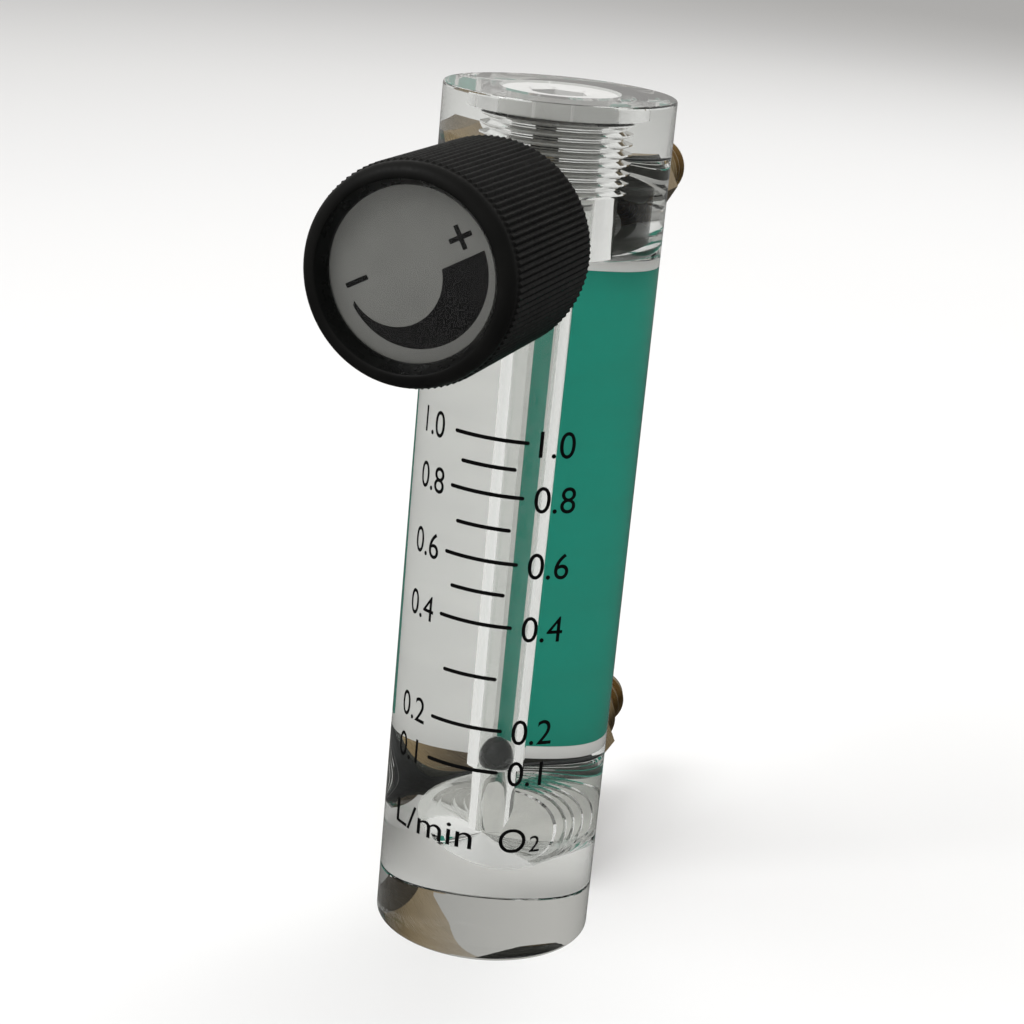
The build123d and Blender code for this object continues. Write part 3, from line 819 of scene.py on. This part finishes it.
def face_graphics():
    """Plus and minus signs and a growing wedge, printed on the knob's face."""
    turn, bar, ink_height, layer_step = math.radians(29.7), 0.42, 0.02, 0.002
    outer_centre, outer_r = (0.35, 0.1), 6.35
    inner_centre, inner_r = (-1.5, 0.5), 4.25
    wedge = arc(outer_centre, outer_r, -175, -5, 40)
    wedge += arc(inner_centre, inner_r, -14, -172, 32)
    plus_x, minus_x, sign_y = 5.2, -4.8, 1.25
    arm = 1.05
    shapes = [wedge,
              rounded_box(minus_x - arm, minus_x + arm, sign_y - bar / 2, sign_y + bar / 2, 0.05),
              rounded_box(plus_x - arm, plus_x + arm, sign_y - bar / 2, sign_y + bar / 2, 0.05),
              rounded_box(plus_x - bar / 2, plus_x + bar / 2, sign_y - arm, sign_y + arm, 0.05)]
    items = []
    for index, points in enumerate(shapes):
        low = DISC_FRONT + layer_step * (1 + index)
        flat = [(x * math.cos(turn) - y * math.sin(turn), x * math.sin(turn) + y * math.cos(turn))
                for x, y in points]
        count = len(flat)
        vertices = [(x, y, low) for x, y in flat] + [(x, y, low + ink_height) for x, y in flat]
        faces = [list(reversed(range(count))), list(range(count, 2 * count))]
        faces += [[k, (k + 1) % count, count + (k + 1) % count, count + k] for k in range(count)]
        items.append(make_object("sign", vertices, faces, forward(), [ink_black]))
    signs = join(items, "knob_face_print")
    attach(signs, "knob")


# ---------------------------------------------------------------- stage

CAMERA_TURN = (18.305, 17.531, 5.447)
CAMERA_DISTANCE = 219.637
CAMERA_LENS = 78.0
AIM_HEIGHT = 43.896
AIM_SHIFT = -0.774


def camera():
    """Camera at the picture's angle: turned round the tube, raised, and rolled."""
    azimuth, elevation, roll = (math.radians(angle) for angle in CAMERA_TURN)
    back = Vector((math.sin(azimuth) * math.cos(elevation), -math.cos(azimuth) * math.cos(elevation),
                   math.sin(elevation)))
    level = Vector((math.cos(azimuth), math.sin(azimuth), 0))
    up = back.cross(level)
    right = level * math.cos(roll) + up * math.sin(roll)
    up = back.cross(right)
    aim = Vector((0, 0, AIM_HEIGHT)) + right * AIM_SHIFT
    turn = Matrix((right, up, back)).transposed().to_4x4()
    data = bpy.data.cameras.new("camera")
    data.lens, data.sensor_width = CAMERA_LENS, 36.0
    data.clip_start, data.clip_end = 0.01, 20.0
    item = bpy.data.objects.new("camera", data)
    item.matrix_world = Matrix.Translation((aim + back * CAMERA_DISTANCE) * MM) @ turn
    bpy.context.scene.collection.objects.link(item)
    bpy.context.scene.camera = item


def area_light(name, position, size, power):
    """Square soft light that faces the middle of the tube."""
    data = bpy.data.lights.new(name, "AREA")
    data.size, data.energy = size, power
    item = bpy.data.objects.new(name, data)
    aim = Vector((0, 0, TUBE_LENGTH * MM / 2))
    item.location = position
    item.rotation_mode = "QUATERNION"
    item.rotation_quaternion = (Vector(position) - aim).to_track_quat("Z", "Y")
    item.visible_transmission = False
    item.visible_glossy = name == "key"
    bpy.context.scene.collection.objects.link(item)


def pale_floor():
    """Matt floor, left out of reflections."""
    size = 3.0
    mesh = bpy.data.meshes.new("floor")
    corners = [(-size, -size, -1e-4), (size, -size, -1e-4), (size, size, -1e-4), (-size, size, -1e-4)]
    mesh.from_pydata(corners, [], [[0, 1, 2, 3]])
    floor = bpy.data.objects.new("floor", mesh)
    surface = Surface("floor_pale", (0.8, 0.8, 0.8), Roughness=0.9)
    surface.colors(surface.remap(surface.noise(400.0), 0, 1), (0.8, 0.8, 0.8), (0.78, 0.78, 0.785))
    mesh.materials.append(surface.material)
    bpy.context.scene.collection.objects.link(floor)
    floor.visible_glossy = False


def soft_world():
    """World that is brighter on the left and dark below the horizon."""
    world = bpy.data.worlds.new("world")
    world.use_nodes = True
    tree = world.node_tree
    across = tree.nodes.new("ShaderNodeSeparateXYZ")
    tree.links.new(tree.nodes.new("ShaderNodeTexCoord").outputs["Generated"], across.inputs["Vector"])
    ramp = tree.nodes.new("ShaderNodeValToRGB")
    ramp.color_ramp.elements[0].color = (0.98, 0.96, 0.93, 1)
    ramp.color_ramp.elements[1].color = (0.42, 0.42, 0.41, 1)
    wide = tree.nodes.new("ShaderNodeMapRange")
    wide.inputs["From Min"].default_value, wide.inputs["From Max"].default_value = -0.7, 0.8
    tree.links.new(across.outputs["X"], wide.inputs["Value"])
    rise = tree.nodes.new("ShaderNodeMapRange")
    rise.inputs["From Min"].default_value, rise.inputs["From Max"].default_value = -0.25, 0.15
    rise.inputs["To Min"].default_value, rise.inputs["To Max"].default_value = 0.1, 0.68
    tree.links.new(across.outputs["Z"], rise.inputs["Value"])
    tree.links.new(rise.outputs["Result"], tree.nodes["Background"].inputs["Strength"])
    tree.links.new(wide.outputs["Result"], ramp.inputs["Fac"])
    tree.links.new(ramp.outputs["Color"], tree.nodes["Background"].inputs["Color"])
    bpy.context.scene.world = world


def studio():
    """Pale floor, soft world and four soft lights, with enough bounces for clear plastic."""
    pale_floor()
    soft_world()
    area_light("key", (-0.35, -0.45, 0.6), 0.35, 2.8)
    area_light("fill", (0.6, -0.3, 0.3), 0.4, 0.7)
    area_light("back", (0.1, 0.7, 0.7), 0.6, 3.4)
    area_light("top", (-0.05, 0.05, 0.8), 0.5, 2.4)
    scene = bpy.context.scene
    scene.view_settings.view_transform = "Standard"
    scene.cycles.max_bounces = 24
    scene.cycles.transmission_bounces = 20
    scene.cycles.glossy_bounces = 8
    scene.cycles.diffuse_bounces = 4


camera()
studio()
tube = acrylic_tube()
scale_print()
label()
top_plug()
hose_fitting("upper_fitting", "upper_hose_fitting", UPPER_TURNS, UPPER_PORT_Z)
hose_fitting("lower_fitting", "lower_hose_fitting", UPPER_TURNS, LOWER_PORT_Z)
knob()
lens = face_lens()
face_graphics()
gasket("upper_fitting_gasket", backward(UPPER_PORT_Z), NECK_R)
gasket("lower_fitting_gasket", backward(LOWER_PORT_Z), NECK_R)
gasket("bonnet_gasket", forward(), BONNET_NECK_R)
for glass in (tube, lens):
    glass.visible_shadow = False
    glass.visible_diffuse = False
